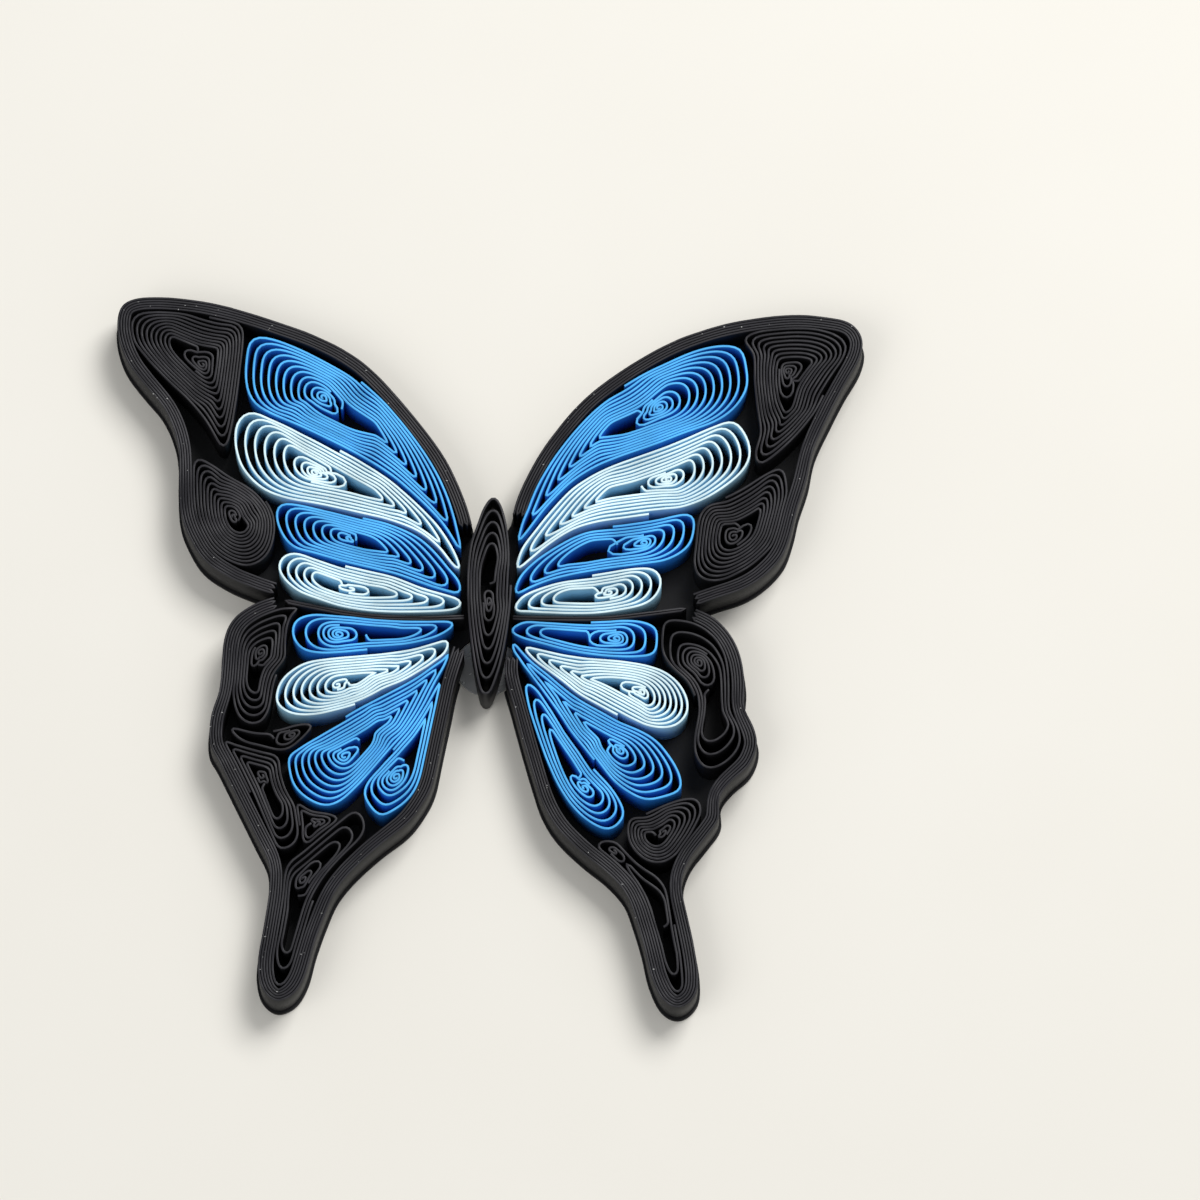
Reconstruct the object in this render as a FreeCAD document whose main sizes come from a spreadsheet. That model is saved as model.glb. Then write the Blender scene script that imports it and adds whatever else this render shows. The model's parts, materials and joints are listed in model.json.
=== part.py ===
import FreeCAD, Part
import math
import os

# A butterfly of quilled paper, lying face up: coils of paper strip stand on edge on four black cards
# and lean on each other inside a rim of folded strip. +X is its right wing in this view, +Y its head,
# +Z its face. The origin is on the surface that it lies on, under the middle of its outline.

doc = FreeCAD.newDocument("quilled_butterfly")
sheet = doc.addObject("Spreadsheet::Sheet", "Sizes")

# Driving dimensions in millimetres
DIMENSIONS = [
    ("card_thick", 0.3),
    ("strip_width", 3.0),
    ("body_strip_width", 3.8),
    ("paper_thick", 0.16),
    ("turn_gap", 0.05),
    ("coil_clearance", 0.06),
    ("rim_passes", 5),
    ("divider_passes", 2),
    ("card_lip", 0.18),
    ("eye_radius", 0.3),
    ("pad_radius", 2.4),
    ("pad_clearance", 0.15),
    ("tip_round", 0.55),
]
for row, (alias, value) in enumerate(DIMENSIONS, start=1):
    sheet.set("A%d" % row, alias)
    sheet.set("B%d" % row, str(value))
    sheet.setAlias("B%d" % row, alias)
doc.recompute()


def size(alias):
    return float(sheet.get(alias))


PITCH = size("paper_thick") + size("turn_gap")
HALF_PAPER = size("paper_thick") / 2
CURVE_STEPS = 5
SETTLE_ROUNDS = 4
WALK_STEPS = 30
WALK_PULL = 0.06
LOOP_REACH = 16
STEP_SHARE = 0.2

# Outer edge of each wing's rim, from the body round to the notch or to the body again
LEFT_FORE_EDGE = [
    (-1.75, 10.7), (-2.4, 12.8), (-4.0, 16.2), (-6.1, 19.1), (-8.1, 21.5), (-10.2, 23.7), (-12.2, 25.2),
    (-15.0, 26.6), (-18.0, 27.65), (-22.0, 28.85), (-25.5, 29.45), (-28.5, 29.5), (-30.2, 29.05),
    (-30.85, 28.0), (-30.8, 26.2), (-30.0, 24.0), (-28.5, 22.0), (-26.9, 20.1), (-25.9, 18.0),
    (-25.45, 16.0), (-25.35, 13.5), (-25.1, 11.0), (-24.4, 9.1), (-23.1, 7.1), (-21.1, 5.75),
    (-19.1, 4.9), (-17.5, 4.4),
]
LEFT_HIND_EDGE = [
    (-17.4, 4.15), (-19.0, 3.5), (-20.6, 2.2), (-21.25, 0.5), (-21.35, -2.0), (-21.5, -4.0), (-22.05, -6.0),
    (-22.05, -8.3), (-21.2, -9.9), (-19.6, -13.0), (-18.0, -16.1), (-17.0, -18.1), (-16.85, -20.0),
    (-17.1, -22.7), (-17.5, -25.5), (-17.5, -27.3), (-17.0, -28.8), (-15.9, -29.55), (-14.6, -28.9),
    (-13.75, -27.3), (-13.2, -24.9), (-12.4, -22.3), (-11.6, -20.3), (-10.2, -18.4), (-8.2, -16.4),
    (-6.2, -14.7), (-5.0, -13.0), (-4.2, -11.2), (-3.7, -8.4), (-3.15, -5.2), (-2.7, -2.6), (-1.95, 0.1),
]
RIGHT_FORE_EDGE = [
    (1.5, 11.7), (2.0, 13.6), (3.3, 16.5), (5.0, 19.2), (6.9, 21.6), (8.9, 23.4), (11.2, 25.1), (13.8, 26.7),
    (17.0, 28.05), (20.0, 28.85), (23.5, 29.35), (26.5, 29.2), (28.4, 28.7), (29.3, 27.3), (29.0, 25.5),
    (27.8, 23.2), (26.7, 20.8), (25.5, 17.9), (25.0, 15.2), (24.3, 12.8), (23.9, 10.8), (23.2, 8.7),
    (21.8, 7.0), (20.1, 5.8), (18.0, 5.0), (16.5, 4.4),
]
RIGHT_HIND_EDGE = [
    (16.4, 4.05), (17.9, 3.3), (19.2, 1.9), (20.0, 0.2), (20.4, -2.0), (20.4, -4.1), (21.2, -5.8),
    (21.5, -7.3), (20.9, -9.0), (19.5, -10.4), (18.6, -11.8), (18.6, -13.5), (17.6, -15.1), (16.3, -17.0),
    (15.75, -19.0), (16.2, -21.3), (16.8, -23.8), (17.2, -26.0), (17.2, -27.8), (16.5, -28.9),
    (15.5, -29.25), (14.4, -28.5), (13.5, -26.6), (12.9, -24.2), (12.2, -22.0), (11.4, -20.0),
    (9.9, -18.3), (8.0, -16.8), (6.0, -14.9), (4.7, -12.9), (3.8, -10.4), (2.9, -7.5), (2.0, -4.4),
    (1.3, -2.0), (1.3, -0.4),
]
LEFT_DIVIDER = [(-2.15, 3.05), (-6.0, 2.85), (-10.0, 2.95), (-14.0, 3.55), (-16.5, 4.05)]
RIGHT_DIVIDER = [(1.75, 3.1), (5.0, 3.1), (9.0, 3.2), (12.5, 3.7), (15.6, 4.2)]

# Each coil: the outline that it was pressed into, and its eye
COILS = {
    "left_tip_coil": (
        [(-29.6, 27.9), (-27.6, 28.4), (-25.0, 28.3), (-22.6, 27.8), (-21.0, 27.4), (-20.65, 26.4),
         (-20.8, 23.6), (-21.0, 21.0), (-21.3, 18.5), (-21.7, 16.8), (-22.3, 17.0), (-23.4, 18.9),
         (-24.9, 20.7), (-26.6, 22.3), (-28.4, 24.2), (-29.7, 26.0)], (-24.3, 25.0)),
    "left_corner_coil": (
        [(-24.0, 15.8), (-22.8, 15.3), (-21.2, 14.3), (-19.6, 13.5), (-18.3, 12.3), (-17.6, 10.8),
         (-17.6, 9.0), (-18.2, 7.5), (-19.6, 6.7), (-21.3, 7.2), (-22.8, 8.4), (-23.8, 10.2),
         (-24.25, 12.5), (-24.4, 14.6)], (-20.5, 10.6)),
    "left_blue_1": (
        [(-20.1, 26.2), (-18.8, 26.4), (-16.8, 25.8), (-14.0, 24.5), (-11.5, 23.1), (-9.0, 20.9), (-7.0, 18.5),
         (-5.4, 16.3), (-4.1, 13.9), (-3.2, 11.5), (-2.5, 8.6), (-2.8, 8.6), (-3.9, 10.4), (-5.2, 11.9),
         (-7.7, 14.2), (-10.0, 15.8), (-13.0, 17.4), (-16.0, 18.8), (-18.4, 19.8), (-19.8, 20.8),
         (-20.4, 22.5), (-20.4, 24.5)], (-12.5, 20.4)),
    "left_pale_1": (
        [(-2.5, 6.8), (-2.9, 8.1), (-4.1, 10.1), (-5.4, 11.6), (-7.9, 13.9), (-10.2, 15.5), (-13.1, 17.1),
         (-16.1, 18.5), (-18.5, 19.5), (-19.9, 20.0), (-20.8, 19.3), (-21.1, 17.8), (-20.8, 16.0),
         (-20.0, 14.5), (-18.5, 13.2), (-16.5, 12.5), (-14.0, 12.1), (-10.5, 11.4), (-8.0, 10.8),
         (-6.0, 10.0), (-4.4, 8.7), (-3.2, 7.2)], (-13.2, 14.9)),
    "left_blue_2": (
        [(-2.5, 4.8), (-2.6, 5.9), (-3.5, 7.0), (-4.7, 8.4), (-6.1, 9.6), (-8.1, 10.5), (-10.5, 11.1),
         (-14.0, 11.8), (-16.4, 12.2), (-17.3, 12.0), (-17.5, 10.9), (-17.0, 9.5), (-16.0, 8.4),
         (-14.2, 7.9), (-12.0, 7.3), (-9.8, 6.8), (-7.6, 6.3), (-5.6, 5.6), (-4.0, 5.1)], (-11.0, 9.2)),
    "left_pale_2": (
        [(-2.3, 3.9), (-2.6, 4.4), (-3.9, 4.8), (-5.7, 5.3), (-7.8, 6.1), (-10.0, 6.6), (-12.2, 7.1),
         (-14.4, 7.7), (-15.9, 8.1), (-16.9, 7.7), (-17.2, 6.8), (-16.7, 5.7), (-15.5, 4.7), (-14.0, 4.1),
         (-12.0, 3.5), (-10.0, 3.2), (-8.0, 3.1), (-5.0, 3.2), (-3.0, 3.4)], (-12.0, 5.4)),
    "left_blue_3": (
        [(-2.9, 2.4), (-3.2, 1.8), (-4.3, 1.1), (-6.0, 0.5), (-8.0, 0.1), (-10.2, -0.2), (-12.2, -0.45),
         (-13.8, -0.5), (-15.0, -0.2), (-15.7, 0.6), (-15.85, 1.6), (-15.4, 2.4), (-14.2, 2.8),
         (-12.5, 2.75), (-10.0, 2.6), (-7.0, 2.55), (-4.5, 2.55)], (-9.9, 1.1)),
    "left_pale_3": (
        [(-3.3, 0.9), (-3.5, -0.2), (-4.3, -0.9), (-5.4, -1.75), (-6.8, -2.7), (-8.5, -3.6), (-10.2, -4.6),
         (-12.2, -5.3), (-14.2, -5.75), (-15.8, -5.6), (-16.8, -4.9), (-16.95, -4.0), (-16.6, -2.9),
         (-15.8, -2.0), (-14.6, -1.25), (-12.8, -0.9), (-10.4, -0.6), (-8.0, -0.3), (-6.0, 0.1),
         (-4.5, 0.6)], (-11.2, -2.9)),
    "left_blue_4": (
        [(-3.2, 0.0), (-3.7, -0.7), (-4.5, -1.3), (-5.6, -2.2), (-7.0, -3.1), (-8.7, -4.1), (-10.4, -5.1),
         (-12.0, -6.2), (-13.8, -7.5), (-15.2, -8.6), (-15.9, -9.2), (-15.7, -10.5), (-15.1, -11.9),
         (-13.9, -12.9), (-12.6, -13.3), (-11.4, -12.8), (-10.2, -11.6), (-9.0, -10.1), (-7.7, -8.4),
         (-6.3, -6.7), (-5.2, -4.8), (-4.3, -2.8), (-3.5, -1.2)], (-10.2, -7.7)),
    "left_blue_5": (
        [(-3.3, -1.9), (-3.6, -3.8), (-3.9, -5.8), (-4.2, -7.8), (-4.6, -9.6), (-5.3, -11.3), (-6.2, -12.7),
         (-7.3, -13.6), (-8.3, -14.0), (-9.2, -13.2), (-9.8, -12.3), (-9.6, -11.3), (-8.7, -10.0),
         (-7.5, -8.4), (-6.1, -6.6), (-5.0, -4.7), (-4.1, -2.9)], (-6.6, -9.3)),
    "left_shoulder_coil": (
        [(-15.4, 3.3), (-17.0, 3.2), (-18.6, 2.7), (-19.7, 1.7), (-20.2, 0.2), (-20.3, -2.0), (-20.4, -4.2),
         (-19.9, -5.9), (-18.9, -6.6), (-17.9, -6.3), (-17.4, -5.2), (-17.2, -3.6), (-16.9, -2.4),
         (-16.1, -1.0), (-16.2, 0.2), (-16.2, 1.6), (-15.9, 2.6)], (-18.4, -1.6)),
    "left_wedge_coil": (
        [(-20.5, -6.9), (-18.6, -7.2), (-16.7, -7.0), (-15.2, -6.5), (-13.9, -6.5), (-14.6, -7.6),
         (-16.0, -8.7), (-17.8, -8.5), (-19.6, -8.0)], (-17.0, -7.7)),
    "left_flank_coil": (
        [(-21.0, -8.0), (-20.0, -8.3), (-18.2, -8.8), (-16.6, -9.2), (-16.3, -10.6), (-15.8, -12.1),
         (-14.9, -13.6), (-14.6, -15.0), (-15.0, -16.5), (-16.2, -17.0), (-17.2, -16.0), (-18.3, -13.8),
         (-19.4, -11.6), (-20.4, -9.6)], (-17.6, -11.6)),
    "left_heel_coil": (
        [(-15.0, -13.1), (-13.8, -13.7), (-12.3, -13.9), (-11.6, -14.4), (-13.0, -15.6), (-14.2, -16.6),
         (-14.7, -15.4)], (-13.8, -14.8)),
    "left_tail_coil": (
        [(-15.7, -28.4), (-15.0, -27.6), (-14.4, -25.5), (-13.9, -23.4), (-13.3, -21.2), (-12.4, -19.2),
         (-11.0, -17.3), (-9.7, -15.8), (-9.5, -14.5), (-10.3, -13.6), (-11.5, -14.5), (-12.9, -15.8),
         (-14.3, -17.1), (-15.5, -18.2), (-15.8, -19.8), (-16.0, -21.8), (-16.3, -24.0), (-16.5, -26.5),
         (-16.3, -28.0)], (-14.5, -20.8)),
    "right_tip_coil": (
        [(19.8, 27.4), (21.5, 28.1), (24.0, 28.3), (26.2, 28.1), (27.8, 27.4), (28.2, 26.2), (27.6, 24.6),
         (26.4, 22.4), (25.2, 20.4), (23.8, 18.6), (22.4, 17.2), (21.2, 16.4), (20.8, 17.4), (21.2, 19.2),
         (20.9, 21.2), (20.6, 23.6), (20.5, 25.8), (19.8, 26.8)], (23.8, 23.7)),
    "right_corner_coil": (
        [(22.9, 16.2), (23.4, 15.2), (23.5, 13.4), (23.2, 11.8), (22.6, 9.9), (21.3, 8.3), (19.7, 7.1),
         (18.0, 6.4), (16.6, 6.7), (16.1, 7.9), (16.2, 9.8), (16.3, 11.8), (16.9, 12.9), (18.5, 13.6),
         (20.1, 14.5), (21.6, 15.6)], (19.7, 11.1)),
    "right_blue_1": (
        [(1.9, 9.3), (2.4, 11.6), (3.1, 13.8), (4.2, 16.1), (5.6, 18.4), (7.2, 20.3), (9.2, 22.2),
         (11.6, 23.9), (13.8, 25.1), (15.9, 26.1), (18.0, 26.6), (19.5, 26.3), (20.0, 24.8), (20.1, 23.0),
         (19.2, 21.3), (17.6, 20.0), (15.0, 18.9), (12.5, 17.8), (10.0, 16.8), (7.9, 15.8), (5.9, 14.3),
         (4.1, 12.2), (2.6, 10.0)], (11.6, 20.6)),
    "right_pale_1": (
        [(1.9, 6.9), (2.2, 8.6), (3.2, 10.2), (4.5, 12.0), (6.1, 13.9), (8.0, 15.3), (10.0, 16.3),
         (12.5, 17.3), (15.0, 18.4), (17.2, 19.5), (19.0, 20.1), (20.1, 18.9), (20.5, 17.4), (20.0, 15.9),
         (18.8, 14.6), (17.2, 13.4), (15.3, 12.5), (13.0, 12.0), (10.0, 11.5), (8.0, 11.1), (6.2, 10.4),
         (4.4, 9.1), (3.0, 7.8)], (11.8, 14.3)),
    "right_blue_2": (
        [(1.85, 4.8), (2.1, 6.2), (3.0, 7.4), (4.6, 8.8), (6.4, 10.0), (8.2, 10.7), (10.5, 11.05),
         (13.0, 11.5), (15.0, 12.05), (16.0, 11.9), (16.1, 10.6), (15.6, 9.2), (14.0, 8.1), (12.0, 7.7),
         (9.5, 7.3), (7.0, 6.8), (4.8, 6.2), (3.2, 5.5)], (9.9, 9.4)),
    "right_pale_2": (
        [(1.8, 3.5), (2.3, 4.6), (3.4, 5.3), (4.9, 5.95), (7.0, 6.5), (9.5, 7.0), (11.6, 7.4), (13.0, 7.3),
         (13.6, 6.4), (13.3, 5.2), (12.3, 4.3), (10.3, 3.75), (8.0, 3.4), (5.0, 3.35), (3.0, 3.4)],
        (8.5, 5.3)),
    "right_blue_3": (
        [(1.55, 1.75), (2.2, 2.4), (3.3, 2.75), (5.5, 2.85), (8.0, 2.85), (10.0, 2.95), (12.0, 2.9),
         (13.2, 2.4), (13.4, 1.5), (13.2, 0.2), (12.0, -0.15), (10.0, -0.2), (8.0, -0.05), (6.0, 0.3),
         (4.2, 0.75), (2.6, 1.15)], (7.9, 1.5)),
    "right_pale_3": (
        [(2.7, 0.5), (3.4, -0.5), (4.5, -1.35), (5.8, -2.3), (7.2, -3.4), (8.8, -4.3), (10.3, -5.1),
         (11.9, -5.8), (13.6, -6.2), (15.1, -5.9), (15.9, -4.8), (15.9, -3.6), (15.3, -2.4), (14.2, -1.4),
         (12.6, -0.8), (10.5, -0.5), (8.0, -0.35), (6.0, -0.1), (4.3, 0.25)], (11.2, -3.1)),
    "right_blue_4": (
        [(1.85, 0.9), (2.5, 0.2), (3.4, -0.75), (4.6, -1.7), (6.0, -2.9), (7.4, -3.9), (9.0, -4.8),
         (10.6, -5.65), (12.2, -6.3), (13.6, -7.2), (14.8, -8.7), (15.5, -10.1), (15.5, -11.2),
         (14.3, -11.9), (12.9, -12.3), (11.5, -11.8), (10.2, -10.9), (9.0, -9.5), (7.8, -8.0), (6.6, -6.5),
         (5.4, -4.7), (4.0, -2.8), (2.7, -1.1), (1.8, 0.2)], (9.8, -7.7)),
    "right_blue_5": (
        [(2.9, -2.6), (3.1, -4.2), (3.6, -5.8), (4.2, -7.5), (4.9, -9.3), (5.8, -11.2), (6.9, -12.8),
         (8.2, -14.0), (9.7, -14.7), (10.7, -14.2), (11.1, -13.2), (10.6, -12.0), (9.8, -10.9),
         (8.6, -9.6), (7.4, -8.0), (6.2, -6.5), (5.0, -4.7), (3.8, -3.0)], (7.4, -10.4)),
    "right_shoulder_coil": (
        [(14.0, 3.0), (15.8, 3.0), (17.2, 2.4), (18.4, 1.2), (19.0, -0.4), (19.2, -2.4), (19.3, -4.4),
         (20.0, -5.8), (20.2, -7.1), (19.6, -8.3), (18.3, -9.3), (17.2, -9.2), (16.5, -8.2),
         (16.4, -6.6), (16.6, -5.0), (16.5, -3.6), (15.8, -2.1), (14.6, -1.0), (13.8, 0.2), (13.7, 1.8)],
        (17.5, -2.8)),
    "right_knee_coil": (
        [(11.4, -13.6), (12.8, -13.2), (14.2, -12.5), (15.8, -11.9), (16.9, -12.0), (17.2, -13.0),
         (16.7, -14.3), (16.0, -15.6), (15.2, -16.7), (14.2, -17.3), (13.0, -17.2), (11.9, -16.3),
         (11.3, -15.0)], (13.6, -15.0)),
    "right_tail_coil": (
        [(15.6, -28.2), (14.8, -27.4), (14.2, -25.8), (13.7, -23.6), (13.1, -21.4), (12.1, -19.4),
         (10.8, -18.0), (9.2, -16.7), (9.1, -15.7), (10.4, -15.6), (11.4, -16.6), (12.5, -17.6),
         (13.8, -18.2), (14.6, -19.2), (15.1, -21.2), (15.5, -23.2), (15.9, -25.2), (16.1, -27.0),
         (16.1, -27.9)], (14.5, -22.6)),
}
BODY_COIL = (
    [(-0.1, 12.9), (0.5, 12.3), (1.0, 11.0), (1.35, 9.2), (1.55, 7.0), (1.6, 5.0), (1.5, 3.0), (1.3, 1.0),
     (1.0, -0.9), (0.6, -2.5), (0.1, -3.8), (-0.45, -3.9), (-0.8, -3.1), (-1.2, -1.3), (-1.55, 0.8),
     (-1.8, 2.8), (-1.95, 5.0), (-1.95, 7.2), (-1.75, 9.0), (-1.3, 10.5), (-0.85, 11.9)], (-0.1, 5.5))
PAD_CENTRE = (-0.3, -0.3)


def spline(points, closed, steps=CURVE_STEPS):
    """A smooth curve through the given points, with a few steps from each to the next."""
    count = len(points)
    spans = count if closed else count - 1
    curve = []
    for i in range(spans):
        if closed:
            a, b, c, d = (points[(i + k) % count] for k in (-1, 0, 1, 2))
        else:
            a, b, c, d = points[max(i - 1, 0)], points[i], points[i + 1], points[min(i + 2, count - 1)]
        for j in range(steps):
            t = j / steps
            place = []
            for k in (0, 1):
                bend = 2 * a[k] - 5 * b[k] + 4 * c[k] - d[k]
                twist = 3 * b[k] - a[k] - 3 * c[k] + d[k]
                place.append(b[k] + 0.5 * ((c[k] - a[k]) * t + bend * t * t + twist * t ** 3))
            curve.append(tuple(place))
    if not closed:
        curve.append(points[-1])
    return curve


def area(loop):
    return sum(p[0] * q[1] - q[0] * p[1] for p, q in zip(loop, loop[1:] + loop[:1])) / 2


def normals(line, closed):
    """Unit normals to the left of the direction of travel."""
    count = len(line)
    found = []
    for i in range(count):
        before = line[i - 1] if closed or i else line[0]
        after = line[(i + 1) % count] if closed or i < count - 1 else line[-1]
        dx, dy = after[0] - before[0], after[1] - before[1]
        length = math.hypot(dx, dy) or 1.0
        found.append((-dy / length, dx / length))
    return found


def smooth(line, closed, amount):
    """Each point goes part of the way to the middle of its neighbours."""
    count = len(line)
    out = []
    for i, (x, y) in enumerate(line):
        if not closed and i in (0, count - 1):
            out.append((x, y))
            continue
        (ax, ay), (bx, by) = line[i - 1], line[(i + 1) % count]
        out.append((x + amount * ((ax + bx) / 2 - x), y + amount * ((ay + by) / 2 - y)))
    return out


def nearest(point, loop):
    """Distance from a point to a loop, the way out of it, and whether the point is inside."""
    px, py = point
    best = None
    inside = False
    qx, qy = loop[-1]
    for rx, ry in loop:
        if (ry > py) != (qy > py) and px < (qx - rx) * (py - ry) / (qy - ry) + rx:
            inside = not inside
        ex, ey = rx - qx, ry - qy
        span = ex * ex + ey * ey
        t = 0.0 if span == 0 else max(0.0, min(1.0, ((px - qx) * ex + (py - qy) * ey) / span))
        dx, dy = px - qx - t * ex, py - qy - t * ey
        d = dx * dx + dy * dy
        if best is None or d < best[0]:
            best = (d, dx, dy)
        qx, qy = rx, ry
    d = math.sqrt(best[0]) or 1e-9
    sign = -1.0 if inside else 1.0
    return sign * d, sign * best[1] / d, sign * best[2] / d


def settle(loops, walls, clearance):
    """The coils press on each other and on the walls until they are a clearance apart."""
    names = list(loops)
    fixed = list(walls)
    for _ in range(SETTLE_ROUNDS):
        boxes = {}
        for name in names:
            xs, ys = zip(*loops[name])
            boxes[name] = (min(xs) - clearance, max(xs) + clearance, min(ys) - clearance, max(ys) + clearance)
        for name in names:
            moved = []
            for p in loops[name]:
                shift = [0.0, 0.0]
                for other in names:
                    x0, x1, y0, y1 = boxes[other]
                    if other == name or not (x0 < p[0] < x1 and y0 < p[1] < y1):
                        continue
                    gap, ux, uy = nearest(p, loops[other])
                    if gap < clearance:
                        shift[0] += 0.55 * (clearance - gap) * ux
                        shift[1] += 0.55 * (clearance - gap) * uy
                for wall in fixed:
                    gap, ux, uy = nearest(p, wall)
                    if gap < clearance:
                        shift[0] += (clearance - gap) * ux
                        shift[1] += (clearance - gap) * uy
                moved.append((p[0] + shift[0], p[1] + shift[1]))
            loops[name] = moved
    return loops


def offset(line, distance, closed):
    return [(x + distance * nx, y + distance * ny) for (x, y), (nx, ny) in zip(line, normals(line, closed))]


def passes(edge, count, side):
    """The middle line of a strip that is folded back and forth beside an edge, count times."""
    line = spline(edge, False)
    middle = []
    near = offset(line, side * HALF_PAPER, False)
    for k in range(count):
        middle.extend(near if k % 2 == 0 else near[::-1])
        near = smooth(offset(near, side * PITCH, False), False, 0.5)
    return middle


def even(loop, count):
    """The same closed loop with evenly spaced points, from the same first point."""
    ends = loop[1:] + loop[:1]
    spans = [math.hypot(q[0] - p[0], q[1] - p[1]) for p, q in zip(loop, ends)]
    step = sum(spans) / count
    found = []
    walked = 0.0
    for p, q, span in zip(loop, ends, spans):
        while len(found) < count and len(found) * step < walked + span:
            t = (len(found) * step - walked) / span
            found.append((p[0] + t * (q[0] - p[0]), p[1] + t * (q[1] - p[1])))
        walked += span
    return found


def wind(turn, eye, step):
    """The next turn inwards: drawn towards the eye, and nowhere nearer to the last turn than the pitch."""
    cx, cy = eye
    following = []
    for x, y in smooth(turn, True, size("tip_round")):
        x, y = x + (cx - x) * step, y + (cy - y) * step
        for _ in range(WALK_STEPS):
            gap, ux, uy = nearest((x, y), turn)
            short = PITCH + gap
            if short <= 0.002:
                break
            x, y = x - ux * short, y - uy * short
            x, y = x + (cx - x) * WALK_PULL, y + (cy - y) * WALK_PULL
        following.append((x, y))
    settled = []
    for x, y in even(cut_loops(smooth(following, True, 0.5)), len(turn)):
        gap, ux, uy = nearest((x, y), turn)
        short = max(0.0, PITCH + gap)
        settled.append((x - ux * short, y - uy * short))
    return settled


def spiral(outline, eye):
    """The middle line of a strip wound into a coil: it starts on the outline and ends in a bow at the eye."""
    turn = outline if area(outline) < 0 else outline[::-1]
    cx, cy = eye
    away = [math.hypot(x - cx, y - cy) for x, y in turn]
    reach = min(away)
    nearest_to_eye = away.index(reach)
    turn = offset(turn[nearest_to_eye:] + turn[:nearest_to_eye], -HALF_PAPER, True)
    turn = even(turn, len(turn))
    turns = max(2, int((reach - size("eye_radius")) / PITCH))
    rings = [turn]
    for k in range(turns):
        ring = wind(rings[-1], eye, 1.0 / (turns + 2 - k))
        if min(math.hypot(x - cx, y - cy) for x, y in ring) < size("eye_radius") * 0.7:
            break
        rings.append(ring)
    middle = []
    count = len(turn)
    for ring, after in zip(rings, rings[1:]):
        for i in range(count):
            t = max(0.0, i / count - 1 + STEP_SHARE) / STEP_SHARE
            middle.append((ring[i][0] + t * (after[i][0] - ring[i][0]), ring[i][1] + t * (after[i][1] - ring[i][1])))
    # The strip leaves its last turn where that passes nearest to the eye
    away = [math.hypot(x - cx, y - cy) for x, y in middle[-count // 2:]]
    middle = middle[:len(middle) - len(away) + away.index(min(away)) + 1]
    x, y = middle[-1]
    dx, dy = cx - x, cy - y
    for t in (0.6, 1.2):
        middle.append((x + t * dx, y + t * dy))
    return middle


def crossing(a, b, c, d):
    """Where the run from a to b crosses the run from c to d, or None."""
    rx, ry, sx, sy = b[0] - a[0], b[1] - a[1], d[0] - c[0], d[1] - c[1]
    cross = rx * sy - ry * sx
    if cross == 0:
        return None
    t = ((c[0] - a[0]) * sy - (c[1] - a[1]) * sx) / cross
    u = ((c[0] - a[0]) * ry - (c[1] - a[1]) * rx) / cross
    if 0 <= t <= 1 and 0 <= u <= 1:
        return (a[0] + t * rx, a[1] + t * ry)
    return None


def cut_loops(line):
    """The same line without the small loops that it makes where it doubles back at a tip."""
    kept = []
    i = 0
    while i < len(line):
        kept.append(line[i])
        ahead = i + 1
        if i + 1 < len(line):
            for j in range(min(i + LOOP_REACH, len(line) - 2), i + 1, -1):
                meet = crossing(line[i], line[i + 1], line[j], line[j + 1])
                if meet:
                    kept.append(meet)
                    ahead = j + 1
                    break
        i = ahead
    return kept


def thin_out(line, least):
    kept = [line[0]]
    for p in line[1:]:
        if math.hypot(p[0] - kept[-1][0], p[1] - kept[-1][1]) >= least:
            kept.append(p)
    return kept


def ribbon(middle):
    """The outline of a strip of paper seen on edge, with mitred corners."""
    line = thin_out(smooth(cut_loops(middle), False, 0.6), PITCH / 2)
    left, right = [], []
    for i, (x, y) in enumerate(line):
        ax, ay = line[max(i - 1, 0)]
        bx, by = line[min(i + 1, len(line) - 1)]
        ux, uy = x - ax, y - ay
        vx, vy = bx - x, by - y
        lu, lv = math.hypot(ux, uy), math.hypot(vx, vy)
        if lu == 0:
            ux, uy, lu = vx, vy, lv
        if lv == 0:
            vx, vy, lv = ux, uy, lu
        mx, my = ux / lu + vx / lv, uy / lu + vy / lv
        length = math.hypot(mx, my)
        nx, ny = -my / length, mx / length
        cosine = max(0.6, nx * -uy / lu + ny * ux / lu)
        w = HALF_PAPER / cosine
        left.append((x + nx * w, y + ny * w))
        right.append((x - nx * w, y - ny * w))
    return cut_loops(left) + cut_loops(right)[::-1]


# The origin goes under the middle of the four cards' outline
lipped = [p for edge in (LEFT_FORE_EDGE, LEFT_HIND_EDGE) for p in offset(spline(edge, False), -size("card_lip"), False)]
lipped += [p for edge in (RIGHT_FORE_EDGE, RIGHT_HIND_EDGE) for p in offset(spline(edge, False), size("card_lip"), False)]
SHIFT = [-(min(p[k] for p in lipped) + max(p[k] for p in lipped)) / 2 for k in (0, 1)]


def face(loop):
    points = [FreeCAD.Vector(x + SHIFT[0], y + SHIFT[1], 0) for x, y in loop]
    return Part.Face(Part.makePolygon(points + points[:1]))


def stand(name, shape, height_alias, floor_alias):
    """One named piece: a flat outline drawn up to the height that the sheet gives."""
    outline = doc.addObject("Part::Feature", name + "_outline")
    outline.Shape = shape
    piece = doc.addObject("Part::Extrusion", name)
    piece.Base = outline
    piece.DirMode = "Custom"
    piece.Dir = FreeCAD.Vector(0, 0, 1)
    piece.Solid = True
    piece.setExpression("LengthFwd", "Sizes." + height_alias)
    if floor_alias:
        piece.setExpression(".Placement.Base.z", "Sizes." + floor_alias)
    piece.Label = name
    return piece


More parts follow.
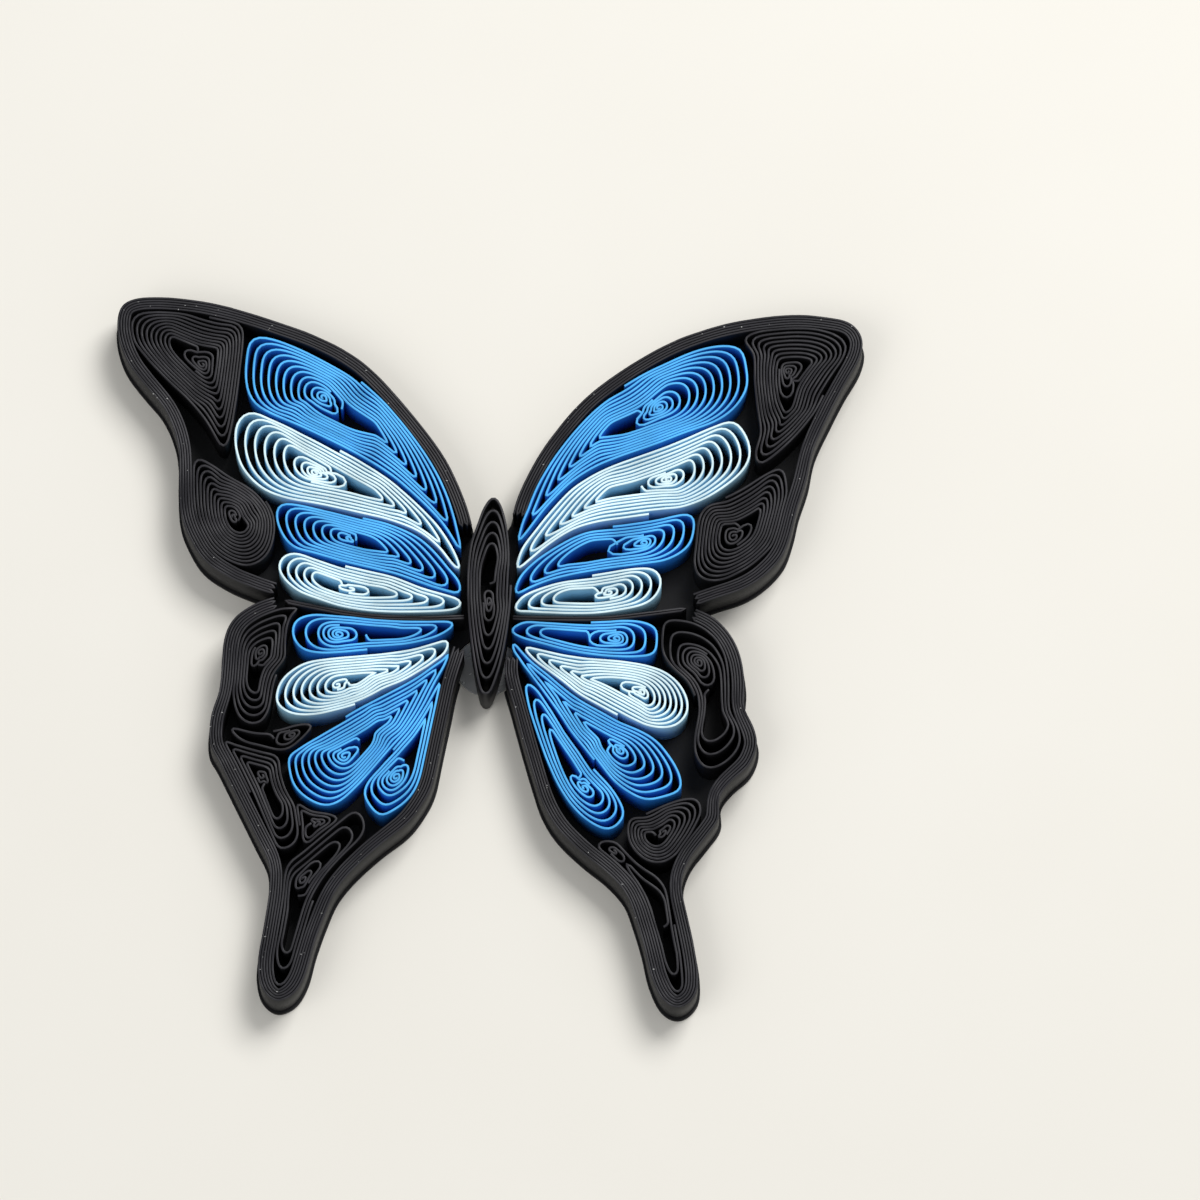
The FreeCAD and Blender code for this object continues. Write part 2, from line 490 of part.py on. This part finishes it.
# Walls that the coils lean on: the inner edge of each rim and of each divider, and the body
rim_width = (int(size("rim_passes")) - 1) * PITCH + size("paper_thick")
divider_width = (int(size("divider_passes")) - 1) * PITCH + size("paper_thick")
RIMS = {
    "left_fore_rim": (LEFT_FORE_EDGE, 1),
    "left_hind_rim": (LEFT_HIND_EDGE, 1),
    "right_fore_rim": (RIGHT_FORE_EDGE, -1),
    "right_hind_rim": (RIGHT_HIND_EDGE, -1),
}
DIVIDERS = {"left_divider": (LEFT_DIVIDER, 1), "right_divider": (RIGHT_DIVIDER, -1)}


def band(edge, side, width):
    line = spline(edge, False)
    inner = line
    for _ in range(4):
        inner = smooth(offset(inner, side * width / 4, False), False, 0.5)
    return line + inner[::-1]


strips = {}
walls = []
for name, (edge, side) in RIMS.items():
    strips[name] = ribbon(passes(edge, int(size("rim_passes")), side))
    walls.append(band(edge, side, rim_width))
for name, (edge, side) in DIVIDERS.items():
    strips[name] = ribbon(passes(edge, int(size("divider_passes")), side))
    walls.append(band(edge, side, divider_width))
body_loop = spline(BODY_COIL[0], True)
walls.append(body_loop)

loops = {name: spline(points, True) for name, (points, eye) in COILS.items()}
loops = settle(loops, walls, size("coil_clearance"))
for name, (points, eye) in COILS.items():
    strips[name] = ribbon(spiral(loops[name], eye))

pieces = []
for name, loop in strips.items():
    pieces.append(stand(name, face(loop), "strip_width", "card_thick"))
pieces.append(stand("body_coil", face(ribbon(spiral(body_loop, BODY_COIL[1]))), "body_strip_width", "card_thick"))

# One card under each wing, with a narrow lip beyond the rim, and a clear pad under the body's tail end
pad_rim = FreeCAD.Vector(PAD_CENTRE[0] + SHIFT[0], PAD_CENTRE[1] + SHIFT[1], 0)
taken = Part.Face(Part.Wire(Part.makeCircle(size("pad_radius") + size("pad_clearance"), pad_rim)))
LEFT_MIDDLE = [(0.0, 3.0), (-3.0, 3.0), (-9.0, 2.95), (-15.0, 3.75)]
RIGHT_MIDDLE = [(0.0, 3.0), (3.0, 3.0), (8.0, 3.1), (14.0, 3.9)]
CARDS = {
    "left_fore_card": (LEFT_FORE_EDGE, 1, LEFT_MIDDLE[::-1] + [(0.0, 9.5)]),
    "left_hind_card": (LEFT_HIND_EDGE, 1, [(0.0, 0.6)] + LEFT_MIDDLE),
    "right_fore_card": (RIGHT_FORE_EDGE, -1, RIGHT_MIDDLE[::-1] + [(0.0, 9.5)]),
    "right_hind_card": (RIGHT_HIND_EDGE, -1, [(0.0, 0.6)] + RIGHT_MIDDLE),
}
for name, (edge, side, inner) in CARDS.items():
    card = face(offset(spline(edge, False), -side * size("card_lip"), False) + inner).cut(taken)
    pieces.append(stand(name, card, "card_thick", None))
    taken = taken.fuse(card)

pad_piece = doc.addObject("Part::Cylinder", "glue_pad")
pad_piece.setExpression("Radius", "Sizes.pad_radius")
pad_piece.setExpression("Height", "Sizes.card_thick")
pad_piece.Placement.Base = pad_rim
pad_piece.Label = "glue_pad"
pieces.append(pad_piece)

doc.recompute()
for thing in doc.Objects:
    if "Invalid" in thing.State or "Error" in thing.State:
        raise RuntimeError("not built: " + thing.Name)
os.makedirs("parts", exist_ok=True)
bad = [piece.Label for piece in pieces if piece.Shape.isNull() or not piece.Shape.isValid()]
if bad:
    raise RuntimeError("bad shapes: " + ", ".join(bad))
for piece in pieces:
    piece.Shape.exportStep("parts/" + piece.Label + ".step")
print(len(pieces), "pieces, shifted by", [round(v, 3) for v in SHIFT])
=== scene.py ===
# %% [markdown]
# A butterfly of quilled paper lies face up on a pale table. Paper strips 3 mm wide stand on edge, wound
# into coils, so what the eye sees is mostly their cut edges. The solid model holds the strips, all but the
# loosest turns. This lesson softens those strips into real paper, gives each its finish, adds the loose turns
# and some specks of glue, and lights and frames the picture.

# %% The frame that everything sits in
import json
import math

import bmesh
import bpy
from mathutils import Matrix, Vector
from mathutils.bvhtree import BVHTree


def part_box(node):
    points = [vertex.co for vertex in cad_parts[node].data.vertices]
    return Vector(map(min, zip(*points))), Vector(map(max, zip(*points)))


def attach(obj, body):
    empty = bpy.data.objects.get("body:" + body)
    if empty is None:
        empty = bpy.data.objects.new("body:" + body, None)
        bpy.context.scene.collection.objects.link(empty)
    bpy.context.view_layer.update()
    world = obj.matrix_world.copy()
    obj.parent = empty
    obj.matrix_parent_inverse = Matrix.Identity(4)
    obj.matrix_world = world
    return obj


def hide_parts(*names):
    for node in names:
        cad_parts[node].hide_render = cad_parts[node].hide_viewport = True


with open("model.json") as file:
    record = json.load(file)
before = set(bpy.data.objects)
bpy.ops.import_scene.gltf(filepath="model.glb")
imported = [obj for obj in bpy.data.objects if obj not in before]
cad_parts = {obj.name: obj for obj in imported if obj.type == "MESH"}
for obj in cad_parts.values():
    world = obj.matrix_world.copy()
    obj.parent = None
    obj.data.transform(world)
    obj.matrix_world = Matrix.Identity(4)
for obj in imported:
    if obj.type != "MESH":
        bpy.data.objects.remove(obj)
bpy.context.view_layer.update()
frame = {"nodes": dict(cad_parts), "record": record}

MM = 0.001
CARD_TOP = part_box("left_fore_card")[1].z
STRIP_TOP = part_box("left_blue_1")[1].z
BODY_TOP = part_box("body_coil")[1].z
print("pieces in the frame:", len(frame["nodes"]))
print("tops in mm:", [round(top / MM, 2) for top in (CARD_TOP, STRIP_TOP, BODY_TOP)])

# %% [markdown]
# Every material and every piece is made in the same few ways, so those come first: a new material, a noise
# in it, a blend of two colours, a new piece, and a piece's mesh as its modifiers leave it.

# %% Small helpers
def socket(node, name, value):
    node.inputs[name].default_value = value


def new_material(name, roughness):
    """A material with its tree, its shader and its object coordinates."""
    mat = bpy.data.materials.new(name)
    mat.use_nodes = True
    tree = mat.node_tree
    shader = tree.nodes["Principled BSDF"]
    socket(shader, "Roughness", roughness)
    return mat, tree, shader, tree.nodes.new("ShaderNodeTexCoord")


def noise(tree, place, scale, detail=2.0):
    node = tree.nodes.new("ShaderNodeTexNoise")
    socket(node, "Scale", scale)
    socket(node, "Detail", detail)
    tree.links.new(place.outputs["Object"], node.inputs["Vector"])
    return node.outputs["Fac"]


def blend(tree, factor, first, second):
    node = tree.nodes.new("ShaderNodeMix")
    node.data_type = "RGBA"
    socket(node, "A", (*first, 1))
    socket(node, "B", (*second, 1))
    tree.links.new(factor, node.inputs["Factor"])
    return node.outputs["Result"]


def new_piece(name, mesh):
    piece = bpy.data.objects.new(name, mesh)
    bpy.context.scene.collection.objects.link(piece)
    return piece


def settle(piece):
    """Gives a piece the mesh that its modifiers make, and drops them."""
    bpy.context.view_layer.update()
    seen = piece.evaluated_get(bpy.context.evaluated_depsgraph_get())
    done = bpy.data.meshes.new_from_object(seen)
    piece.modifiers.clear()
    piece.data = done
    return done


# %% [markdown]
# Dyed paper is one colour right through, yet its cut edge catches the light and looks paler than its faces,
# and no two turns are quite the same tone. Object coordinates give both: height picks out the cut edge, and
# two sizes of noise give the mottling and the fibres, which also drive a fine bump.

# %% Paper
MOTTLE_SCALE = 260.0
MOTTLE_DETAIL = 4.0
MOTTLE_LOW, MOTTLE_HIGH = 0.3, 0.7
TONE_LEAST, TONE_MOST = 0.82, 1.12
FIBRE_SCALE = 9000.0
FIBRE_DETAIL = 3.0
FIBRE_DEPTH = 0.02 * MM
FIBRE_STRENGTH = 0.35
PAPER_SHINE = 0.3
EDGE_DEPTH = 0.12 * MM


def paper(name, face, edge, top, roughness):
    """Matt paper with a paler cut edge at height top."""
    mat, tree, shader, place = new_material(name, roughness)
    add, link = tree.nodes.new, tree.links.new
    apart = add("ShaderNodeSeparateXYZ")
    link(place.outputs["Object"], apart.inputs[0])
    rise = add("ShaderNodeMapRange")
    socket(rise, "From Min", top - EDGE_DEPTH)
    socket(rise, "From Max", top)
    link(apart.outputs["Z"], rise.inputs["Value"])
    tone = add("ShaderNodeMapRange")
    socket(tone, "From Min", MOTTLE_LOW)
    socket(tone, "From Max", MOTTLE_HIGH)
    socket(tone, "To Min", TONE_LEAST)
    socket(tone, "To Max", TONE_MOST)
    link(noise(tree, place, MOTTLE_SCALE, MOTTLE_DETAIL), tone.inputs["Value"])
    shade = add("ShaderNodeVectorMath")
    shade.operation = "SCALE"
    link(blend(tree, rise.outputs["Result"], face, edge), shade.inputs[0])
    link(tone.outputs["Result"], shade.inputs["Scale"])
    link(shade.outputs[0], shader.inputs["Base Color"])
    bump = add("ShaderNodeBump")
    socket(bump, "Strength", FIBRE_STRENGTH)
    socket(bump, "Distance", FIBRE_DEPTH)
    link(noise(tree, place, FIBRE_SCALE, FIBRE_DETAIL), bump.inputs["Height"])
    link(bump.outputs["Normal"], shader.inputs["Normal"])
    socket(shader, "Specular IOR Level", PAPER_SHINE)
    return mat


finish = {
    "blue_paper": paper("blue_paper", (0.014, 0.16, 0.56), (0.085, 0.47, 0.93), STRIP_TOP, 0.6),
    "pale_paper": paper("pale_paper", (0.3, 0.56, 0.74), (0.74, 0.93, 0.97), STRIP_TOP, 0.6),
    "black_paper": paper("black_paper", (0.006, 0.006, 0.007), (0.02, 0.019, 0.023), STRIP_TOP, 0.5),
    "body_paper": paper("body_paper", (0.006, 0.006, 0.007), (0.022, 0.021, 0.025), BODY_TOP, 0.5),
    "black_card": paper("black_card", (0.016, 0.012, 0.01), (0.006, 0.006, 0.007), CARD_TOP, 0.7),
}
print("papers:", ", ".join(finish))

# %% [markdown]
# The pad of glue is clear and glossy, with a little cloudiness. Transmission in the shader does this, and a
# faint noise in its roughness keeps it from looking like glass. Dried specks are whitish and less clear.

# %% Glue
HAZE_SCALE = 900.0
HAZE_LEAST, HAZE_MOST = 0.12, 0.4
GLUE_CLEARNESS = 0.6
GLUE_IOR = 1.45
SPECK_SCALE = 3000.0


def clear_glue():
    mat, tree, shader, place = new_material("clear_glue", HAZE_MOST)
    haze = tree.nodes.new("ShaderNodeMapRange")
    socket(haze, "To Min", HAZE_LEAST)
    socket(haze, "To Max", HAZE_MOST)
    tree.links.new(noise(tree, place, HAZE_SCALE), haze.inputs["Value"])
    tree.links.new(haze.outputs["Result"], shader.inputs["Roughness"])
    socket(shader, "Base Color", (0.83, 0.85, 0.86, 1))
    socket(shader, "Transmission Weight", GLUE_CLEARNESS)
    socket(shader, "IOR", GLUE_IOR)
    return mat


def dried_glue():
    mat, tree, shader, place = new_material("dried_glue", 0.35)
    cloud = noise(tree, place, SPECK_SCALE)
    colour = blend(tree, cloud, (0.22, 0.22, 0.22), (0.6, 0.6, 0.57))
    tree.links.new(colour, shader.inputs["Base Color"])
    return mat


finish["clear_glue"] = clear_glue()
finish["dried_glue"] = dried_glue()

# %% [markdown]
# A strip wound by hand never keeps its edge in one plane: it rises and dips by a tenth of a millimetre from
# turn to turn, and its walls wander. A small Geometry Nodes tree does it for every strip, with how far it
# rises and sways as inputs. It moves only what stands above the card, so each strip stays seated.

# %% A tree that makes a strip wander
WANDER_SCALE = 420.0
WANDER_DETAIL = 1.0


def new_tree(name, numbers, whole=()):
    """A Geometry Nodes tree with named inputs, and its first and last nodes."""
    tree = bpy.data.node_groups.new(name, "GeometryNodeTree")
    kinds = [("Geometry", "NodeSocketGeometry")]
    kinds += [(word, "NodeSocketFloat") for word in numbers]
    kinds += [(word, "NodeSocketInt") for word in whole]
    kinds += [("Finish", "NodeSocketMaterial")]
    for word, kind in kinds:
        tree.interface.new_socket(word, in_out="INPUT", socket_type=kind)
    tree.interface.new_socket("Geometry", in_out="OUTPUT", socket_type="NodeSocketGeometry")
    return tree, tree.nodes.new("NodeGroupInput"), tree.nodes.new("NodeGroupOutput")


def end_tree(tree, given, made, geometry):
    """Realizes what a tree made, and gives it its finish."""
    real = tree.nodes.new("GeometryNodeRealizeInstances")
    tree.links.new(geometry, real.inputs[0])
    dress = tree.nodes.new("GeometryNodeSetMaterial")
    tree.links.new(real.outputs[0], dress.inputs["Geometry"])
    tree.links.new(given.outputs["Finish"], dress.inputs["Material"])
    tree.links.new(dress.outputs[0], made.inputs[0])


def run_tree(piece, tree, values):
    """Puts a tree on a piece with its inputs set by name."""
    names = {s.name: s.identifier for s in tree.interface.items_tree if s.in_out == "INPUT"}
    mod = piece.modifiers.new(tree.name, "NODES")
    mod.node_group = tree
    for word, value in values.items():
        mod[names[word]] = value


def wander_tree():
    tree, given, made = new_tree("wandering_strip", ("Rise", "Sway", "Foot", "Span"))
    add, link = tree.nodes.new, tree.links.new
    where = add("GeometryNodeInputPosition")
    waves = add("ShaderNodeTexNoise")
    socket(waves, "Scale", WANDER_SCALE)
    socket(waves, "Detail", WANDER_DETAIL)
    link(where.outputs[0], waves.inputs["Vector"])
    middle = add("ShaderNodeVectorMath")
    middle.operation = "SUBTRACT"
    middle.inputs[1].default_value = (0.5, 0.5, 0.5)
    link(waves.outputs["Color"], middle.inputs[0])
    size = add("ShaderNodeCombineXYZ")
    link(given.outputs["Sway"], size.inputs["X"])
    link(given.outputs["Sway"], size.inputs["Y"])
    link(given.outputs["Rise"], size.inputs["Z"])
    shift = add("ShaderNodeVectorMath")
    shift.operation = "MULTIPLY"
    link(middle.outputs[0], shift.inputs[0])
    link(size.outputs[0], shift.inputs[1])
    split = add("ShaderNodeSeparateXYZ")
    link(where.outputs[0], split.inputs[0])
    above = add("ShaderNodeMath")
    above.operation = "SUBTRACT"
    link(split.outputs["Z"], above.inputs[0])
    link(given.outputs["Foot"], above.inputs[1])
    share = add("ShaderNodeMath")
    share.operation = "DIVIDE"
    share.use_clamp = True
    link(above.outputs[0], share.inputs[0])
    link(given.outputs["Span"], share.inputs[1])
    scaled = add("ShaderNodeVectorMath")
    scaled.operation = "SCALE"
    link(shift.outputs[0], scaled.inputs[0])
    link(share.outputs[0], scaled.inputs["Scale"])
    move = add("GeometryNodeSetPosition")
    link(given.outputs["Geometry"], move.inputs["Geometry"])
    link(scaled.outputs[0], move.inputs["Offset"])
    end_tree(tree, given, made, move.outputs[0])
    return tree


WANDER = wander_tree()
print("wandering tree nodes:", len(WANDER.nodes))

# %% [markdown]
# A hand-wound coil keeps turning to its very middle, where the pressing has opened it into a loose spiral.
# The room left in the middle of each solid coil is found first: the roomiest point inside it, and how far
# the innermost turn is from there in each direction. The inner turns then shrink from that outline to the
# point, rounder and rounder, as the springy paper does.

# %% Inner turns
PAPER = 0.16 * MM
INNER_GAP = 0.3 * MM
LEAST_GAP = 0.18 * MM
FARTHEST = 12 * MM
CALMING = 3
RAYS = 48
LAST_RAYS = RAYS // 3
SEARCH = 28
node_box = {name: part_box(name) for name in frame["nodes"]}


def reach(walls, centre):
    """How far the nearest wall is in each direction, or nothing where the way is open."""
    found = []
    for k in range(RAYS):
        turn = 2 * math.pi * k / RAYS
        hit = walls.ray_cast(centre, Vector((math.cos(turn), math.sin(turn), 0)), FARTHEST)
        if hit[3] is None:
            return None
        found.append(hit[3])
    return found


def roomiest(walls, low, high, level):
    """The enclosed point that is farthest from every wall."""
    places = []
    for i in range(1, SEARCH):
        for j in range(1, SEARCH):
            x = low.x + (high.x - low.x) * i / SEARCH
            y = low.y + (high.y - low.y) * j / SEARCH
            spot = Vector((x, y, level))
            places.append((walls.find_nearest(spot)[3], spot))
    for _, spot in sorted(places, key=lambda pair: -pair[0]):
        found = reach(walls, spot)
        if found:
            return spot, found
    return None, None


def stand(work, line, foot, top):
    """Adds a strip on edge along a line to a mesh."""
    last = None
    for k, spot in enumerate(line):
        ahead = line[min(k + 1, len(line) - 1)] - line[max(k - 1, 0)]
        side = Vector((-ahead.y, ahead.x)).normalized() * PAPER / 2
        near, far = spot + side, spot - side
        around = ((near, foot), (far, foot), (far, top), (near, top))
        ring = [work.verts.new((p.x, p.y, z)) for p, z in around]
        if last:
            for a in range(4):
                b = (a + 1) % 4
                work.faces.new((last[a], last[b], ring[b], ring[a]))
        else:
            work.faces.new(ring)
        last = ring
    work.faces.new(last[::-1])


def inner_turns(work, node_name, level, foot, top):
    """Adds a loose spiral in the middle of a coil to its mesh, and says how many turns it has."""
    walls = BVHTree.FromBMesh(work)
    low, high = node_box[node_name]
    centre, found = roomiest(walls, low, high, level)
    if centre is None:
        return 0
    calm = [sorted(found[(k + d) % RAYS] for d in range(-2, 3))[2] for k in range(RAYS)]
    for _ in range(CALMING):
        calm = [min(calm[k], (calm[k - 1] + calm[k] + calm[(k + 1) % RAYS]) / 3) for k in range(RAYS)]
    calm = [max(r - LEAST_GAP, PAPER) for r in calm]
    least = min(calm)
    turns = min(round(sum(calm) / RAYS / INNER_GAP), int(least / LEAST_GAP) + 1)
    if turns < 1:
        return 0
    start = calm.index(least)
    line = []
    for k in range(turns * RAYS - LAST_RAYS):
        share = 1 - k / (turns * RAYS)
        radius = share * (calm[(start + k) % RAYS] * share + least * (1 - share))
        turn = 2 * math.pi * (start + k) / RAYS
        line.append(centre.xy + radius * Vector((math.cos(turn), math.sin(turn))))
    stand(work, line, foot, top)
    return turns


# %% [markdown]
# Each strip starts as a copy of its solid. The loose triangles are merged, the flat ends become single faces,
# and the long cut edges get a tiny bevel, because scissors and fingers leave no paper edge truly sharp.

# %% Softened strips
EDGE_ROUND = 0.025 * MM
MIDDLE_LEVEL = 2.0 * MM
BLACK_RISE = 0.22 * MM
BRIGHT_RISE = 0.1 * MM
SWAY = 0.05 * MM
SAME_POINT = 1e-7
FLAT_ENOUGH = math.radians(0.5)
BEVEL_FROM = math.radians(70)
SHARP_FROM = math.radians(50)
added = {}


def strip_mesh(node_name, top):
    """The solid strip's mesh, merged, with a coil's inner turns added."""
    mesh = bpy.data.meshes.new(node_name + "_paper")
    work = bmesh.new()
    work.from_mesh(frame["nodes"][node_name].data)
    bmesh.ops.remove_doubles(work, verts=work.verts, dist=SAME_POINT)
    bmesh.ops.dissolve_limit(work, angle_limit=FLAT_ENOUGH, verts=work.verts, edges=work.edges)
    if not node_name.endswith(("_rim", "_divider")):
        added[node_name] = inner_turns(work, node_name, MIDDLE_LEVEL, CARD_TOP, top)
        bmesh.ops.recalc_face_normals(work, faces=work.faces)
    work.to_mesh(mesh)
    work.free()
    return mesh


def soften(node_name, material, rise, top):
    """A paper strip in place of the plain solid of the same name."""
    piece = new_piece(node_name + "_paper", strip_mesh(node_name, top))
    run_tree(piece, WANDER, {
        "Rise": rise, "Sway": SWAY, "Foot": CARD_TOP, "Span": top - CARD_TOP, "Finish": material,
    })
    bevel = piece.modifiers.new("edge", "BEVEL")
    bevel.width = EDGE_ROUND
    bevel.segments = 1
    bevel.limit_method = "ANGLE"
    bevel.angle_limit = BEVEL_FROM
    done = settle(piece)
    done.set_sharp_from_angle(angle=SHARP_FROM)
    for poly in done.polygons:
        poly.use_smooth = True
    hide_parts(node_name)
    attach(piece, "root")
    return piece


slots = {row["node"]: row["material_slot"] for row in frame["record"]["subparts"]}
strips = [name for name in sorted(slots) if slots[name].endswith("_paper")]
corners = 0
for node_name in strips:
    body = node_name == "body_coil"
    slot = slots[node_name]
    rise = BLACK_RISE if slot == "black_paper" else BRIGHT_RISE
    top = BODY_TOP if body else STRIP_TOP
    made = soften(node_name, finish["body_paper" if body else slot], rise, top)
    corners += len(made.data.vertices)
print("strips softened:", len(strips), "with", corners, "corners; inner turns:", added)

# %% [markdown]
# The cards and the glue pad have the right shape as they are, so they only take a finish.

# %% Cards and pad
for node_name, slot in slots.items():
    if slot in ("black_card", "clear_glue"):
        node = frame["nodes"][node_name]
        node.data.materials.clear()
        node.data.materials.append(finish[slot])
        print("finished", node_name, "with", slot)

# %% [markdown]
# Craft glue dries into tiny whitish specks wherever a brush touched the black strips. One tree strews them
# over the upward faces of the rims, larger and smaller at random.

# %% Specks of dried glue
SPECK_RADIUS = 0.07 * MM
SPECKS_PER_SQUARE_M = 0.35 / (MM * MM)
SPECK_SEED = 5
SPECK_LEAST = (0.25, 0.25, 0.15)
SPECK_MOST = (1.3, 0.8, 0.5)
UPRIGHT = 0.9


def speck_tree():
    tree, given, made = new_tree("glue_specks", ("Density", "Radius"), ("Seed",))
    add, link = tree.nodes.new, tree.links.new
    normal = add("GeometryNodeInputNormal")
    split = add("ShaderNodeSeparateXYZ")
    link(normal.outputs[0], split.inputs[0])
    upward = add("ShaderNodeMath")
    upward.operation = "GREATER_THAN"
    upward.inputs[1].default_value = UPRIGHT
    link(split.outputs["Z"], upward.inputs[0])
    strew = add("GeometryNodeDistributePointsOnFaces")
    link(given.outputs["Geometry"], strew.inputs["Mesh"])
    link(upward.outputs[0], strew.inputs["Selection"])
    link(given.outputs["Density"], strew.inputs["Density"])
    link(given.outputs["Seed"], strew.inputs["Seed"])
    drop = add("GeometryNodeMeshIcoSphere")
    drop.inputs["Subdivisions"].default_value = 1
    link(given.outputs["Radius"], drop.inputs["Radius"])
    chance = add("FunctionNodeRandomValue")
    chance.data_type = "FLOAT_VECTOR"
    chance.inputs[0].default_value = SPECK_LEAST
    chance.inputs[1].default_value = SPECK_MOST
    link(given.outputs["Seed"], chance.inputs["Seed"])
    place = add("GeometryNodeInstanceOnPoints")
    link(strew.outputs["Points"], place.inputs["Points"])
    link(drop.outputs["Mesh"], place.inputs["Instance"])
    link(chance.outputs[0], place.inputs["Scale"])
    end_tree(tree, given, made, place.outputs[0])
    return tree


def strew_specks():
    ground = bmesh.new()
    for node_name in strips:
        if node_name.endswith("_rim"):
            ground.from_mesh(bpy.data.objects[node_name + "_paper"].data)
    mesh = bpy.data.meshes.new("glue_specks")
    ground.to_mesh(mesh)
    ground.free()
    piece = new_piece("glue_specks", mesh)
    run_tree(piece, speck_tree(), {
        "Density": SPECKS_PER_SQUARE_M, "Radius": SPECK_RADIUS, "Seed": SPECK_SEED,
        "Finish": finish["dried_glue"],
    })
    done = settle(piece)
    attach(piece, "root")
    return len(done.vertices)


print("glue speck corners:", strew_specks())

# %% [markdown]
# A pale matt floor keeps the soft shadow under the rim. A wide lamp behind the wings and a weaker one in
# front stand for a bright window and the room, and an even pale world fills in between.

# %% Floor and light
FLOOR_HALF = 1.5
FLOOR_GRAIN = 40.0
ROOM_LIGHT = 0.42


def floor_material():
    mat, tree, shader, place = new_material("pale_table", 0.9)
    grain = noise(tree, place, FLOOR_GRAIN)
    colour = blend(tree, grain, (0.78, 0.75, 0.68), (0.81, 0.785, 0.72))
    tree.links.new(colour, shader.inputs["Base Color"])
    return mat


def lamp(name, place, side, power):
    """A square lamp that shines at the origin."""
    data = bpy.data.lights.new(name, "AREA")
    data.shape = "SQUARE"
    data.size = side
    data.energy = power
    it = new_piece(name, data)
    it.location = place
    it.rotation_euler = (-Vector(place)).to_track_quat("-Z", "Y").to_euler()


sides = ((-1, -1), (1, -1), (1, 1), (-1, 1))
ground = bpy.data.meshes.new("table")
ground.from_pydata([(x * FLOOR_HALF, y * FLOOR_HALF, 0) for x, y in sides], [], [(0, 1, 2, 3)])
ground.materials.append(floor_material())
new_piece("table", ground)
lamp("window", (0.25, 0.35, 0.5), 0.35, 3.6)
lamp("room", (-0.35, -0.25, 0.45), 0.4, 0.9)
world = bpy.data.worlds.new("pale_room")
world.use_nodes = True
background = world.node_tree.nodes["Background"]
socket(background, "Color", (0.95, 0.97, 1.0, 1))
socket(background, "Strength", ROOM_LIGHT)
bpy.context.scene.world = world
bpy.context.scene.view_settings.view_transform = "Standard"

# %% [markdown]
# The camera looks down from the tail side at 71 degrees, turned a degree and a half about the upright, from
# far off through a long lens. The butterfly sits left of the middle.

# %% Camera
ELEVATION = math.radians(71)
TURN = math.radians(1.5)
DISTANCE = 800 * MM
PICTURE_WIDTH = 96 * MM
SENSOR = 36
NEAREST = 0.01
AIM = Vector((9.48, 4.58, 3.3)) * MM
level = math.cos(ELEVATION)
back = Vector((math.sin(TURN) * level, -math.cos(TURN) * level, math.sin(ELEVATION)))
right = Vector((math.cos(TURN), math.sin(TURN), 0))
up = back.cross(right)
view = bpy.data.cameras.new("view")
view.sensor_width = SENSOR
view.lens = SENSOR * DISTANCE / PICTURE_WIDTH
view.clip_start = NEAREST
camera = new_piece("view", view)
turned = Matrix((right, up, back)).transposed().to_4x4()
camera.matrix_world = Matrix.Translation(AIM + back * DISTANCE) @ turned
bpy.context.scene.camera = camera
print("lens:", round(view.lens, 1), "mm")

# %% [markdown]
# Last, the view layer is brought up to date.

# %% The end
bpy.context.view_layer.update()
